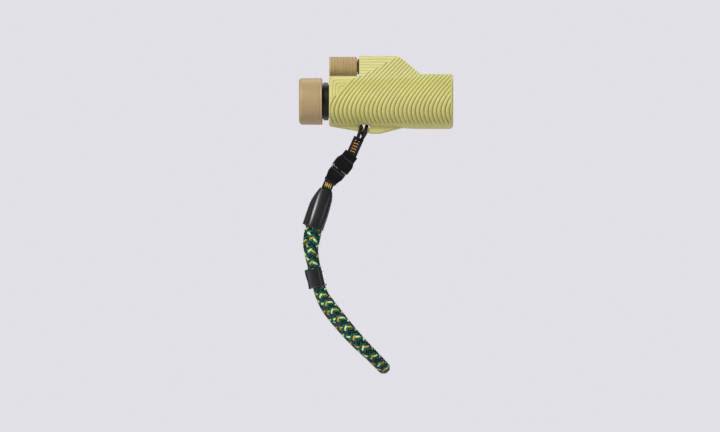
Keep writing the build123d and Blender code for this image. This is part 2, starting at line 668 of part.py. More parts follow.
with BuildPart() as socket:
    with BuildSketch(buckle.offset(-BUCKLE_THICK / 2)) as body:
        with BuildLine():
            Polyline((SOCKET_X[0], -BUCKLE_NECK_HALF), (5.0, -BUCKLE_NECK_HALF),
                     (8.5, -BUCKLE_HALF), (SOCKET_X[1], -BUCKLE_HALF),
                     (SOCKET_X[1], BUCKLE_HALF), (8.5, BUCKLE_HALF),
                     (5.0, BUCKLE_NECK_HALF), (SOCKET_X[0], BUCKLE_NECK_HALF), close=True)
        make_face()
        fillet(body.vertices(), 0.8)
    extrude(body.sketch, amount=BUCKLE_THICK)
    with BuildSketch(buckle.offset(-THROAT_DEPTH / 2)) as throat:
        with Locations(((THROAT_X[0] + THROAT_X[1]) / 2, 0)):
            Rectangle(THROAT_X[1] - THROAT_X[0], 2 * BUCKLE_HALF - 2.4)
    extrude(throat.sketch, amount=THROAT_DEPTH, mode=Mode.SUBTRACT)
    with BuildSketch(buckle.offset(-THROAT_DEPTH / 2)) as windows:
        with Locations(((WINDOW_X[0] + WINDOW_X[1]) / 2, 0)):
            Rectangle(WINDOW_X[1] - WINDOW_X[0], 2 * BUCKLE_HALF + 2)
    extrude(windows.sketch, amount=THROAT_DEPTH, mode=Mode.SUBTRACT)
    add(upper_webbing.part, mode=Mode.SUBTRACT)
write("buckle_socket", socket)

with BuildPart() as plug:
    with BuildSketch(buckle.offset(-BUCKLE_THICK / 2)) as base:
        with BuildLine():
            Polyline((PLUG_X, -PLUG_HALF), (20.4, -PLUG_HALF), (24.6, -PLUG_END_HALF),
                     (BUCKLE_LENGTH, -PLUG_END_HALF), (BUCKLE_LENGTH, PLUG_END_HALF),
                     (24.6, PLUG_END_HALF), (20.4, PLUG_HALF), (PLUG_X, PLUG_HALF),
                     close=True)
        make_face()
        fillet(base.vertices(), 0.8)
    extrude(base.sketch, amount=BUCKLE_THICK)
    with BuildSketch(buckle.offset(-PRONG_THICK / 2)) as stem:
        with Locations(((STEM_X[0] + STEM_X[1]) / 2, 0)):
            Rectangle(STEM_X[1] - STEM_X[0], 2.6)
    extrude(stem.sketch, amount=PRONG_THICK)


def build_prong(sign):
    """One side arm of the plug, on its round root, with the barb that shows in the window."""
    root_x, root_y = PRONG_ROOT
    half = 0.9
    with BuildPart() as prong:
        with BuildSketch(buckle.offset(-PRONG_THICK / 2)) as outline:
            with BuildLine():
                Polyline((root_x, sign * (root_y - half)), (root_x, sign * (root_y + half)),
                         (BARB_X[1], sign * (root_y + half)), (BARB_X[1], sign * 6.6),
                         (BARB_X[0], sign * 6.4), (PRONG_TIP_X, sign * 4.6),
                         (PRONG_TIP_X, sign * (root_y - half)), close=True)
            make_face()
            with Locations((root_x, sign * root_y)):
                Circle(half)
        extrude(outline.sketch, amount=PRONG_THICK)
    return prong


with BuildPart() as lower_webbing:
    with BuildSketch(strap_plane(BUCKLE_END, FERRULE_TOP).offset(-WEB_THICK / 2)) as band:
        with Locations((span(BUCKLE_END, FERRULE_TOP) / 2, 0)):
            Rectangle(span(BUCKLE_END, FERRULE_TOP) + 4.0, WEB_WIDTH)
    extrude(band.sketch, amount=WEB_THICK)
write("lower_webbing", lower_webbing)

with BuildPart() as plug_with_slot:
    add(plug.part)
    add(lower_webbing.part, mode=Mode.SUBTRACT)
write("buckle_plug", plug_with_slot)
write("buckle_prong_front", build_prong(1))
write("buckle_prong_back", build_prong(-1))

ferrule_way = strap_plane(FERRULE_TOP, FERRULE_END)
FERRULE_LENGTH = span(FERRULE_TOP, FERRULE_END)
FERRULE_SECTIONS = [(0.0, 9.6, 5.6), (3.5, 11.6, 7.6), (8.0, 13.4, 11.0), (13.0, 14.2, 14.8),
                    (18.0, 14.5, 18.0), (FERRULE_LENGTH, 14.6, 22.4)]
with BuildPart() as ferrule:
    for distance, width, depth in FERRULE_SECTIONS:
        across = Plane(origin=ferrule_way.from_local_coords((distance, 0, 0)),
                       x_dir=(0, 1, 0), z_dir=ferrule_way.x_dir)
        with BuildSketch(across) as ring:
            RectangleRounded(depth, width, min(depth, width) / 2 - 0.3)
    loft(ruled=True)
    add(lower_webbing.part, mode=Mode.SUBTRACT)
    add(wrist_rope.part, mode=Mode.SUBTRACT)
write("strap_ferrule", ferrule)

# The collar fits loosely round both strands, so that it can be pushed along their straight run.
collar = strap_plane(*COLLAR_RUN)
COLLAR_MID = 19.0
COLLAR_PLAY = 0.65
COLLAR_WALL = 0.8
with BuildPart() as slider:
    across = Plane(origin=collar.from_local_coords((COLLAR_MID - SLIDER_LENGTH / 2, 0, 0)),
                   x_dir=(0, 1, 0), z_dir=collar.x_dir)
    inner_width = ROPE_D + 2 * COLLAR_PLAY
    inner_depth = inner_width + 10.6
    with BuildSketch(across) as ring:
        SlotOverall(inner_depth + 2 * COLLAR_WALL, inner_width + 2 * COLLAR_WALL)
        SlotOverall(inner_depth, inner_width, mode=Mode.SUBTRACT)
    extrude(ring.sketch, amount=SLIDER_LENGTH)
write("rope_slider", slider)
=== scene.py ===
"""Compact roof-prism binoculars with a wrist strap: the looks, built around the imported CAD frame.

Everything is in metres in the CAD's frame: +X towards the objectives, +Z up, right barrel at -Y.
"""
import json
import math

import bmesh
import bpy
import numpy as np
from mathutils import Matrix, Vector


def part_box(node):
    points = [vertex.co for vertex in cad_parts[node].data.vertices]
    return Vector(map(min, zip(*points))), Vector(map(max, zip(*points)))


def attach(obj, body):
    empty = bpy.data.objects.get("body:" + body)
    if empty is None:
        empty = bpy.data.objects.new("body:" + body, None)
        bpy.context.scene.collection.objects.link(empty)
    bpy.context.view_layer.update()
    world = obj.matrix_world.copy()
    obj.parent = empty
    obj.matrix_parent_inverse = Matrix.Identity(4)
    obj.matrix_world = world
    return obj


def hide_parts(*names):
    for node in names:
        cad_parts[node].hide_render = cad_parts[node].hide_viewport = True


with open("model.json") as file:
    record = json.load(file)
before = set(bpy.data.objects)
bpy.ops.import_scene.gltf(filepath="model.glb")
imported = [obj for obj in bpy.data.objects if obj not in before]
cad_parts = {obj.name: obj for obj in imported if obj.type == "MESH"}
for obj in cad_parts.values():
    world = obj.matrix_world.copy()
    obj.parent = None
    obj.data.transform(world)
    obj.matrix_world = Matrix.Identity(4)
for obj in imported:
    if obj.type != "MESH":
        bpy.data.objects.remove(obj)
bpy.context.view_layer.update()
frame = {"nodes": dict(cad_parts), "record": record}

MM = 0.001
SIDES = {"right": -1, "left": 1}
ALONG_Y = np.array((0.0, 1.0, 0.0))


# ---------------------------------------------------------------- camera, stage and light

CENTRE = Vector((-0.0370, -0.032, -0.0851))
CAMERA_DISTANCE = 6.0
VIEW_WIDTH = 0.5328
SENSOR = 36.0
FLOOR_Z = -0.30
FLOOR_RADIUS = 0.8
PALE = (0.765, 0.748, 0.800)
GLOW = 0.22                # how much of the surround's brightness lights the object
LIGHT_TARGET = (-0.03, -0.03, -0.03)


def aimed(obj, place, target=CENTRE):
    obj.location = place
    obj.rotation_euler = (Vector(target) - Vector(place)).to_track_quat("-Z", "Y").to_euler()
    bpy.context.scene.collection.objects.link(obj)
    return obj


def add_camera():
    data = bpy.data.cameras.new("camera")
    data.sensor_width = SENSOR
    data.lens = SENSOR * CAMERA_DISTANCE / VIEW_WIDTH
    bpy.context.scene.camera = aimed(bpy.data.objects.new("camera", data),
                                     CENTRE - Vector((0, CAMERA_DISTANCE, 0)))


def add_light(name, place, power, size):
    data = bpy.data.lights.new(name, "AREA")
    data.shape = "DISK"
    data.energy = power
    data.size = size
    aimed(bpy.data.objects.new(name, data), place, LIGHT_TARGET)


def add_world():
    """A pale surround: the eye sees it bright, and it lights the object more softly."""
    world = bpy.data.worlds.new("studio")
    bpy.context.scene.world = world
    world.use_nodes = True
    nodes, links = world.node_tree.nodes, world.node_tree.links
    nodes.clear()
    seen = nodes.new("ShaderNodeBackground")
    seen.inputs["Color"].default_value = (*PALE, 1)
    glow = nodes.new("ShaderNodeBackground")
    glow.inputs["Color"].default_value = (*PALE, 1)
    glow.inputs["Strength"].default_value = GLOW
    path = nodes.new("ShaderNodeLightPath")
    mix = nodes.new("ShaderNodeMixShader")
    out = nodes.new("ShaderNodeOutputWorld")
    links.new(path.outputs["Is Camera Ray"], mix.inputs["Fac"])
    links.new(glow.outputs[0], mix.inputs[1])
    links.new(seen.outputs[0], mix.inputs[2])
    links.new(mix.outputs[0], out.inputs["Surface"])


add_camera()
add_world()
add_light("key", (-0.95, -1.25, 1.05), power=31, size=0.80)
add_light("fill", (1.2, -1.1, 0.25), power=2.2, size=0.9)
add_light("rim", (0.2, 0.9, 1.3), power=8, size=0.7)
add_light("back", (0.8, 1.4, 0.3), power=8, size=0.8)
bpy.context.scene.view_settings.view_transform = "Standard"


# ---------------------------------------------------------------- mesh helpers

def unit(vector):
    return np.asarray(vector, float) / np.linalg.norm(vector)


def grid_part(points, close_rows=False, close_columns=True, caps=False):
    """Vertices and faces of a grid of points, (rows, columns, 3), joined up as asked."""
    rows, columns = points.shape[:2]
    index = np.arange(rows * columns).reshape(rows, columns)
    if close_rows:
        index = np.vstack([index, index[:1]])
    if close_columns:
        index = np.hstack([index, index[:, :1]])
    quads = np.stack([index[:-1, :-1], index[:-1, 1:], index[1:, 1:], index[1:, :-1]], axis=-1)
    faces = quads.reshape(-1, 4).tolist()
    if caps:
        faces.append(list(range(columns)))
        faces.append(list(range((rows - 1) * columns, rows * columns))[::-1])
    return points.reshape(-1, 3), faces


def place_object(name, mesh, materials, smooth=True):
    piece = bpy.data.objects.new(name, mesh)
    bpy.context.scene.collection.objects.link(piece)
    for material in materials:
        mesh.materials.append(material)
    if smooth:
        smooth_shaded(mesh)
    return piece


def mesh_object(name, parts, materials, part_materials=None, uvs=None, outward=True):
    """One mesh from several (vertices, faces) parts, each with its own material."""
    vertices, faces, chosen, start = [], [], [], 0
    for number, (points, part_faces) in enumerate(parts):
        vertices.append(points)
        faces += [[start + i for i in face] for face in part_faces]
        chosen += [part_materials[number] if part_materials else 0] * len(part_faces)
        start += len(points)
    mesh = bpy.data.meshes.new(name)
    mesh.from_pydata(np.vstack(vertices).tolist(), [], faces)
    mesh.polygons.foreach_set("material_index", chosen)
    if uvs is not None:
        add_uvs(mesh, np.vstack(uvs))
    piece = place_object(name, mesh, materials)
    if outward:
        face_outward(mesh)
    return piece


def add_uvs(mesh, per_vertex):
    layer = mesh.uv_layers.new(name="lay")
    loops = np.zeros(len(mesh.loops), np.int32)
    mesh.loops.foreach_get("vertex_index", loops)
    layer.data.foreach_set("uv", per_vertex[loops].astype(np.float32).ravel())


def face_outward(mesh):
    shape = bmesh.new()
    shape.from_mesh(mesh)
    bmesh.ops.recalc_face_normals(shape, faces=shape.faces)
    shape.to_mesh(mesh)
    shape.free()


def applied(piece, **settings):
    """Gives the piece its mesh after one modifier: applied(piece, type="REMESH", ...)."""
    modifier = piece.modifiers.new("work", settings.pop("type"))
    for key, value in settings.items():
        setattr(modifier, key, value)
    graph = bpy.context.evaluated_depsgraph_get()
    mesh = bpy.data.meshes.new_from_object(piece.evaluated_get(graph))
    piece.modifiers.clear()
    piece.data = mesh


def points_of(mesh):
    places = np.zeros(len(mesh.vertices) * 3, np.float32)
    mesh.vertices.foreach_get("co", places)
    return places.reshape(-1, 3).astype(float)


def normals_of(mesh):
    normals = np.zeros(len(mesh.vertices) * 3, np.float32)
    mesh.vertex_normals.foreach_get("vector", normals)
    return normals.reshape(-1, 3).astype(float)


def set_points(mesh, points):
    mesh.vertices.foreach_set("co", points.astype(np.float32).ravel())
    mesh.update()


def smooth_shaded(mesh):
    mesh.polygons.foreach_set("use_smooth", [True] * len(mesh.polygons))


def add_groove(mesh, share):
    """Each point's share of a groove's depth, which the material reads to paint shade into the
    grooves and, on the armour, a highlight onto the crests.
    """
    mesh.attributes.new("groove", "FLOAT", "POINT").data.foreach_set(
        "value", share.astype(np.float32).ravel())


def softened(name, node, voxel, rounds, material):
    """The CAD node's shape with moulded, rounded edges."""
    piece = place_object(name, frame["nodes"][node].data.copy(), [], smooth=False)
    piece.data.materials.clear()
    applied(piece, type="REMESH", mode="VOXEL", voxel_size=voxel)
    applied(piece, type="SMOOTH", factor=0.5, iterations=rounds)
    piece.data.materials.append(material)
    smooth_shaded(piece.data)
    return piece


def finish_piece(piece, body, slot, *nodes):
    """The piece rides on a body and stands for CAD nodes; its slot is not used."""
    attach(piece, body)
    if nodes:
        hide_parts(*nodes)


def smoothstep(low, high, value):
    share = np.clip((value - low) / (high - low), 0, 1)
    return share * share * (3 - 2 * share)


# ---------------------------------------------------------------- materials

class Shader:
    """A Principled material that is put together a node at a time."""

    def __init__(self, name, **sockets):
        self.material = bpy.data.materials.new(name)
        self.material.use_nodes = True
        self.nodes = self.material.node_tree.nodes
        self.links = self.material.node_tree.links
        self.main = self.nodes["Principled BSDF"]
        for key, value in sockets.items():
            self.main.inputs[key.replace("_", " ")].default_value = value
        self.height = None

    def node(self, kind, inputs=None, **settings):
        node = self.nodes.new("ShaderNode" + kind)
        for key, value in settings.items():
            setattr(node, key, value)
        for key, value in (inputs or {}).items():
            if isinstance(value, bpy.types.NodeSocket):
                self.links.new(value, node.inputs[key])
            else:
                node.inputs[key].default_value = value
        return node

    def math(self, operation, a, b=0.0):
        node = self.node("Math", operation=operation)
        for socket, value in zip(node.inputs, (a, b)):
            if isinstance(value, bpy.types.NodeSocket):
                self.links.new(value, socket)
            else:
                socket.default_value = value
        return node.outputs[0]

    def place(self, stretch=(1, 1, 1)):
        """The object's own coordinates, stretched."""
        coordinates = self.node("TexCoord")
        mapping = self.node("Mapping", {"Vector": coordinates.outputs["Object"], "Scale": stretch})
        return mapping.outputs[0]

    def uv(self):
        split = self.node("SeparateXYZ", {"Vector": self.node("UVMap", uv_map="lay").outputs[0]})
        return split.outputs[0], split.outputs[1]

    def noise(self, scale, detail=3.0, vector=None):
        vector = vector or self.place()
        node = self.node("TexNoise", {"Vector": vector, "Scale": scale, "Detail": detail,
                                      "Roughness": 0.55})
        return node.outputs["Fac"]

    def ramp(self, value, *stops):
        node = self.node("ValToRGB", {"Fac": value})
        elements = node.color_ramp.elements
        while len(elements) < len(stops):
            elements.new(0.5)
        for element, (place, colour) in zip(elements, stops):
            element.position = place
            element.color = (*colour, 1) if len(colour) == 3 else colour
        return node.outputs["Color"]

    def mix(self, factor, first, second):
        node = self.node("Mix", data_type="RGBA")
        for key, value in ((0, factor), (6, first), (7, second)):
            if isinstance(value, bpy.types.NodeSocket):
                self.links.new(value, node.inputs[key])
            elif key:
                node.inputs[key].default_value = (*value, 1)
            else:
                node.inputs[key].default_value = value
        return node.outputs[2]

    def colour(self, socket):
        self.links.new(socket, self.main.inputs["Base Color"])

    def rough(self, value, low, high):
        """Roughness that wanders between two values."""
        node = self.node("MapRange", {"Value": value, "To Min": low, "To Max": high})
        self.links.new(node.outputs[0], self.main.inputs["Roughness"])

    def bump(self, height, depth):
        """Adds a layer of relief, its depth in metres."""
        inputs = {"Height": height, "Distance": depth, "Strength": 1.0}
        if self.height is not None:
            inputs["Normal"] = self.height
        self.height = self.node("Bump", inputs).outputs[0]
        self.links.new(self.height, self.main.inputs["Normal"])


def lighter(colour, share):
    return tuple(min(1.0, c * share) for c in colour)


def moulded(name, colour, roughness, grain=2600, depth=0.00003, **sockets):
    """Moulded plastic or rubber: a fine grain, faint mottling and an uneven gloss."""
    shader = Shader(name, **sockets)
    mottle = shader.noise(90)
    shader.colour(shader.ramp(mottle, (0.3, lighter(colour, 0.90)), (0.7, lighter(colour, 1.08))))
    shader.rough(shader.noise(400), roughness - 0.07, roughness + 0.07)
    shader.bump(shader.noise(grain), depth)
    return shader.material


ARMOUR_COLOUR = (0.600, 0.570, 0.165)
ARMOUR_PAINTED_HIGHLIGHT = (0.76, 0.73, 0.31)
ARMOUR_PAINTED_SHADE = (0.235, 0.215, 0.030)
TAN = (0.450, 0.325, 0.158)


def armour_material():
    """Ribbed rubber with a painted highlight that makes the crests paler and painted shade that
    makes the grooves darker.
    """
    shader = Shader("armour_rubber", Specular_IOR_Level=0.35)
    groove = shader.node("Attribute", attribute_name="groove").outputs["Fac"]
    mottle = shader.noise(60)
    body = shader.ramp(mottle, (0.3, lighter(ARMOUR_COLOUR, 0.94)),
                       (0.7, lighter(ARMOUR_COLOUR, 1.05)))
    # Painted highlight: the crests are paler where the groove share is low.
    crest_highlight = shader.mix(shader.ramp(groove, (0.0, (0.35,) * 3), (0.35, (0.0,) * 3)),
                      body, ARMOUR_PAINTED_HIGHLIGHT)
    # Painted shade: the colour darkens down in the grooves.
    shader.colour(shader.mix(shader.ramp(groove, (0.35, (0.0,) * 3), (1.0, (0.95,) * 3)),
                             crest_highlight, ARMOUR_PAINTED_SHADE))
    shader.rough(shader.noise(500), 0.46, 0.60)
    shader.bump(shader.noise(3000), 0.00003)
    return shader.material


def cup_material():
    """Rubber with the faint rings that its mould was turned with."""
    ring_pitch, ring_depth = 0.0011, 0.00004
    shader = Shader("cup_rubber", Specular_IOR_Level=0.4)
    mottle = shader.noise(70)
    rings = shader.noise(1.0, 2.0, vector=shader.place((1 / ring_pitch, 6, 6)))
    tint = shader.mix(0.5, shader.ramp(mottle, (0.3, lighter(TAN, 0.92)),
                                       (0.7, lighter(TAN, 1.07))), TAN)
    shader.colour(shader.mix(shader.ramp(rings, (0.45, (0.0,) * 3), (0.75, (0.5,) * 3)),
                             tint, lighter(TAN, 0.78)))
    shader.rough(shader.noise(420), 0.42, 0.56)
    shader.bump(rings, ring_depth)
    shader.bump(shader.noise(2800), 0.00002)
    return shader.material


def wheel_material():
    """Rubber with painted shade that darkens its grooves and flutes."""
    shader = Shader("wheel_rubber", Specular_IOR_Level=0.4)
    groove = shader.node("Attribute", attribute_name="groove").outputs["Fac"]
    body = shader.ramp(shader.noise(140), (0.3, lighter(TAN, 1.15)), (0.7, lighter(TAN, 1.38)))
    # Painted shade: grooves and flutes darken towards a deep tan.
    shader.colour(shader.mix(shader.ramp(groove, (0.1, (0.0,) * 3), (1.0, (0.8,) * 3)),
                             body, lighter(TAN, 0.42)))
    shader.rough(shader.noise(420), 0.42, 0.58)
    shader.bump(shader.noise(2800), 0.00002)
    return shader.material


def metal_material(name, colour, roughness):
    """Turned metal: fine rings round the X axis."""
    shader = Shader(name, Metallic=1.0)
    rings = shader.noise(1.0, 3.0, vector=shader.place((6000, 60, 60)))
    shader.colour(shader.ramp(rings, (0.3, lighter(colour, 0.85)), (0.7, lighter(colour, 1.1))))
    shader.rough(rings, roughness - 0.08, roughness + 0.08)
    shader.bump(rings, 0.00001)
    return shader.material


def coated_glass_material():
    """Dark coated glass with a painted reflection of its coating: greener at the middle and more
    purple towards its rim.
    """
    axis_y, lens_radius = 0.032, 0.0135
    shader = Shader("coated_glass", Roughness=0.03, Coat_Weight=1.0, Coat_Roughness=0.02,
                    Specular_IOR_Level=0.9)
    split = shader.node("SeparateXYZ", {"Vector": shader.place()})
    side = shader.math("SUBTRACT", shader.math("ABSOLUTE", split.outputs[1]), axis_y)
    from_axis = shader.math("SQRT", shader.math(
        "ADD", shader.math("MULTIPLY", side, side),
        shader.math("MULTIPLY", split.outputs[2], split.outputs[2])))
    share = shader.math("DIVIDE", from_axis, lens_radius)
    painted_reflection_share = shader.math("ADD", share, shader.math("MULTIPLY", shader.noise(55), 0.25))
    # Painted reflection: the coating's green and purple sheen is put into the base colour.
    shader.colour(shader.ramp(painted_reflection_share, (0.1, (0.004, 0.016, 0.015)), (0.55, (0.010, 0.045, 0.040)),
                              (0.85, (0.030, 0.022, 0.060)), (1.1, (0.012, 0.010, 0.02))))
    return shader.material


def clear_glass_material():
    shader = Shader("prism_glass", Roughness=0.02, Transmission_Weight=0.9, IOR=1.57)
    shader.colour(shader.ramp(shader.noise(40), (0.3, (0.84, 0.90, 0.88)),
                              (0.7, (0.90, 0.95, 0.93))))
    return shader.material


def strand_material(name, colour, shade, contrast=1.0):
    """One braided strand: a few yarns side by side, each a bundle of fine filaments."""
    yarns, yarn_depth, gloss = 3, 0.00012, 0.60
    shader = Shader(name, Roughness=0.34)
    along, across = shader.uv()
    wave = shader.math("SINE", shader.math("MULTIPLY", across, 2 * math.pi * yarns))
    yarn = shader.math("ADD", shader.math("MULTIPLY", wave, 0.5), 0.5)
    twist = shader.math("SINE", shader.math(
        "ADD", shader.math("MULTIPLY", along, 9.0), shader.math("MULTIPLY", across, 34.0)))
    fibre = shader.math("ADD", shader.math("MULTIPLY", twist, 0.5), 0.5)
    lay = shader.math("MULTIPLY", shader.math("ADD", yarn, shader.math("MULTIPLY", fibre, 0.45)),
                      0.69)
    # Painted shade: the strand darkens towards its two edges and in the hollows between its yarns,
    # and its gloss fades with it.
    edge = shader.math("MULTIPLY", shader.math("SUBTRACT", 1.0, across), across)
    body = shader.math("MINIMUM", shader.math("MULTIPLY", edge, 7.0), 1.0)
    hollow = shader.math("MULTIPLY", shader.math("SUBTRACT", 1.0, lay), contrast)
    lit = shader.math("MULTIPLY", shader.math("SUBTRACT", 1.0, hollow), body)
    shader.colour(shader.mix(lit, shade, colour))
    shader.links.new(shader.math("MULTIPLY", lit, gloss),
                     shader.main.inputs["Specular IOR Level"])
    shader.bump(lay, yarn_depth)
    shader.bump(shader.noise(5200), 0.00003)
    return shader.material


def woven_material(name, colour, shade):
    """Herringbone tape: fine diagonal ribs that turn back at its middle."""
    slant_pitch, cord_pitch = 0.75, 0.62
    shader = Shader(name, Roughness=0.62, Specular_IOR_Level=0.25, Sheen_Weight=0.05,
                    Sheen_Roughness=0.4)
    along, across = shader.uv()
    mirrored = shader.math("ABSOLUTE", across)
    slant = shader.math("SINE", shader.math("MULTIPLY", shader.math(
        "ADD", along, mirrored), 2 * math.pi / slant_pitch))
    cords = shader.math("SINE", shader.math("MULTIPLY", across, 2 * math.pi / cord_pitch))
    weave = shader.math("ADD", shader.math("MULTIPLY", shader.math(
        "ADD", slant, shader.math("MULTIPLY", cords, 0.6)), 0.3), 0.5)
    shader.colour(shader.mix(weave, shade, colour))
    shader.bump(weave, 0.00014)
    shader.bump(shader.noise(5200), 0.00003)
    return shader.material


def leather_material():
    """Smooth black leather with a soft grain and polished high spots."""
    shader = Shader("black_leather", Specular_IOR_Level=0.20, Coat_Weight=0.95,
                    Coat_Roughness=0.27)
    cells = shader.node("TexVoronoi", {"Vector": shader.place(), "Scale": 1500.0},
                        feature="DISTANCE_TO_EDGE").outputs["Distance"]
    shader.colour(shader.ramp(shader.noise(220), (0.3, (0.004, 0.004, 0.004)),
                              (0.75, (0.010, 0.009, 0.009))))
    shader.rough(shader.noise(600), 0.36, 0.52)
    shader.bump(shader.ramp(cells, (0.0, (0.0,) * 3), (0.25, (1.0,) * 3)), 0.00003)
    shader.bump(shader.noise(160), 0.00012)
    return shader.material


def thread_material(name, colour):
    shader = Shader(name, Roughness=0.5, Sheen_Weight=0.3)
    shader.colour(shader.ramp(shader.noise(1500), (0.35, lighter(colour, 0.72)),
                              (0.7, lighter(colour, 1.12))))
    shader.bump(shader.noise(4000), 0.00005)
    return shader.material


def stage_material():
    shader = Shader("pale_floor", Roughness=0.9)
    shader.colour(shader.ramp(shader.noise(3), (0.3, lighter(PALE, 0.97)), (0.7, PALE)))
    return shader.material


ARMOUR = armour_material()
CUP = cup_material()
WHEEL = wheel_material()
SATIN_BLACK = moulded("neck_plastic", (0.009, 0.008, 0.007), 0.42, Specular_IOR_Level=0.30)
HOUSING = moulded("housing_plastic", (0.028, 0.028, 0.029), 0.55)
CAGE = moulded("cage_plastic", (0.035, 0.035, 0.036), 0.6)
ANODISED = moulded("black_anodised", (0.016, 0.016, 0.018), 0.42, grain=4200, depth=0.00001,
                   Metallic=0.6)
BUCKLE = moulded("buckle_plastic", (0.004, 0.003, 0.003), 0.24, grain=900, depth=0.00002,
                 Specular_IOR_Level=0.35, Coat_Weight=0.22, Coat_Roughness=0.10)
SEAL = moulded("seal_rubber", (0.012, 0.012, 0.012), 0.5)
NYLON = moulded("washer_nylon", (0.62, 0.62, 0.60), 0.45)
STEEL = metal_material("steel", (0.60, 0.60, 0.61), 0.30)
BRASS = metal_material("brass", (0.72, 0.53, 0.24), 0.32)
COATED = coated_glass_material()
PRISM = clear_glass_material()
LEATHER = leather_material()
WEBBING = woven_material("webbing", (0.020, 0.019, 0.018), (0.003, 0.003, 0.003))
TEAL = strand_material("rope_teal", (0.001, 0.210, 0.165), (0.0001, 0.001, 0.001))
GREEN_FLECK = strand_material("rope_green_fleck", (0.76, 1.0, 0.42), (0.25, 0.40, 0.10), 0.45)
GOLD_FLECK = strand_material("rope_gold_fleck", (0.66, 0.46, 0.04), (0.20, 0.12, 0.010), 0.45)
DEEP_TEAL = strand_material("rope_deep_teal", (0.0005, 0.040, 0.034), (0.0001, 0.001, 0.001))
ROPE_CORE = strand_material("rope_core", (0.001, 0.008, 0.007), (0.0005, 0.002, 0.002))
CORD_BLACK = strand_material("lug_cord_fabric", (0.030, 0.030, 0.030), (0.004, 0.004, 0.004))
ORANGE_THREAD = thread_material("orange_thread", (0.98, 0.42, 0.02))
YELLOW_THREAD = thread_material("yellow_thread", (0.86, 0.58, 0.08))
GREY_THREAD = thread_material("grey_thread", (0.07, 0.07, 0.07))
WHITE_MARK = moulded("white_mark", (0.75, 0.75, 0.73), 0.5)

CAD_MATERIALS = {
    "housing_plastic": HOUSING, "armour_rubber": ARMOUR, "cup_rubber": CUP,
    "wheel_rubber": WHEEL, "wheel_cap_plastic": CUP, "black_anodised": ANODISED,
    "coated_glass": COATED, "prism_glass": PRISM, "seal_rubber": SEAL, "cage_plastic": CAGE,
    "neck_plastic": SATIN_BLACK, "steel": STEEL, "brass": BRASS, "washer_nylon": NYLON,
    "lug_cord_fabric": CORD_BLACK, "webbing": WEBBING, "buckle_plastic": BUCKLE,
    "black_leather": LEATHER, "braided_rope": TEAL,
}


def dress_cad_nodes():
    """Every CAD node gets the procedural material of its slot in the record."""
    for part in frame["record"]["subparts"]:
        mesh = frame["nodes"][part["node"]].data
        mesh.materials.clear()
        mesh.materials.append(CAD_MATERIALS[part["material_slot"]])
        mesh.polygons.foreach_set("material_index", [0] * len(mesh.polygons))


dress_cad_nodes()


def add_floor():
    around = np.linspace(0, 2 * math.pi, 96, endpoint=False)
    rings = [np.stack([CENTRE.x + r * np.cos(around), r * np.sin(around),
                       np.full_like(around, FLOOR_Z)], axis=1)
             for r in np.linspace(0.02, FLOOR_RADIUS, 8)]
    floor = mesh_object("floor", [grid_part(np.array(rings))], [stage_material()], outward=False)
    floor.data.flip_normals()


add_floor()


# ---------------------------------------------------------------- the two cords

LUG_CORD_ROUTE = [
    (-0.0388, -0.0330, -0.0290), (-0.0383, -0.0368, -0.0260), (-0.0369, -0.0384, -0.0226),
    (-0.0364, -0.0384, -0.0187), (-0.0359, -0.0256, -0.0187), (-0.0352, -0.0256, -0.0254),
    (-0.0336, -0.0384, -0.0256), (-0.0324, -0.0384, -0.0187), (-0.0317, -0.0256, -0.0187),
    (-0.0326, -0.0258, -0.0236), (-0.0346, -0.0280, -0.0266), (-0.0366, -0.0310, -0.0296),
]
ROPE_ROUTE = [
    (-0.0682, -0.0372, -0.0885), (-0.0711, -0.0373, -0.1020), (-0.0733, -0.0373, -0.1120),
    (-0.0666, -0.0373, -0.1415), (-0.0587, -0.0440, -0.1518), (-0.0496, -0.0558, -0.1634),
    (-0.0386, -0.0614, -0.1767), (-0.0267, -0.0558, -0.1892), (-0.0194, -0.0411, -0.1971),
    (-0.0196, -0.0229, -0.1973), (-0.0272, -0.0082, -0.1899), (-0.0400, -0.0026, -0.1784),
    (-0.0517, -0.0082, -0.1657), (-0.0615, -0.0200, -0.1534), (-0.0666, -0.0267, -0.1415),
    (-0.0737, -0.0267, -0.1120), (-0.0752, -0.0267, -0.1020), (-0.0714, -0.0268, -0.0885),
]
ROPE_DIAMETER = 0.0096
ROPE_MATERIALS = [TEAL, GREEN_FLECK, GOLD_FLECK, DEEP_TEAL, ROPE_CORE]
ROPE_STRANDS = [GREEN_FLECK, TEAL, DEEP_TEAL, TEAL, GOLD_FLECK, TEAL, DEEP_TEAL, TEAL]
LUG_CORD_DIAMETER = 0.0022
LUG_CORD_STRANDS = 4


def distances_along(points):
    return np.concatenate([[0], np.cumsum(np.linalg.norm(np.diff(points, axis=0), axis=1))])


def points_at(at, run, points):
    return np.stack([np.interp(at, run, points[:, k]) for k in range(3)], axis=1)


def nurbs_line(name, route, step):
    """Evenly spaced points along the smooth line that the route's points pull."""
    curve = bpy.data.curves.new(name, "CURVE")
    curve.dimensions = "3D"
    curve.resolution_u = 24
    spline = curve.splines.new("NURBS")
    spline.points.add(len(route) - 1)
    for point, place in zip(spline.points, route):
        point.co = (*place, 1.0)
    spline.order_u = 3
    spline.use_endpoint_u = True
    mesh = bpy.data.meshes.new_from_object(bpy.data.objects.new(name, curve))
    line = points_of(mesh)
    run = distances_along(line)
    at = np.linspace(0, run[-1], round(run[-1] / step) + 1)
    return points_at(at, run, line), at


def frames_along(line):
    """Two directions across the line at each point, carried along without twisting."""
    tangents = np.gradient(line, axis=0)
    tangents /= np.linalg.norm(tangents, axis=1)[:, None]
    side = unit(np.cross(tangents[0], (0.3, 0.5, 0.8)))
    sides = []
    for tangent in tangents:
        side = unit(side - tangent * (side @ tangent))
        sides.append(side)
    sides = np.array(sides)
    return sides, np.cross(tangents, sides)


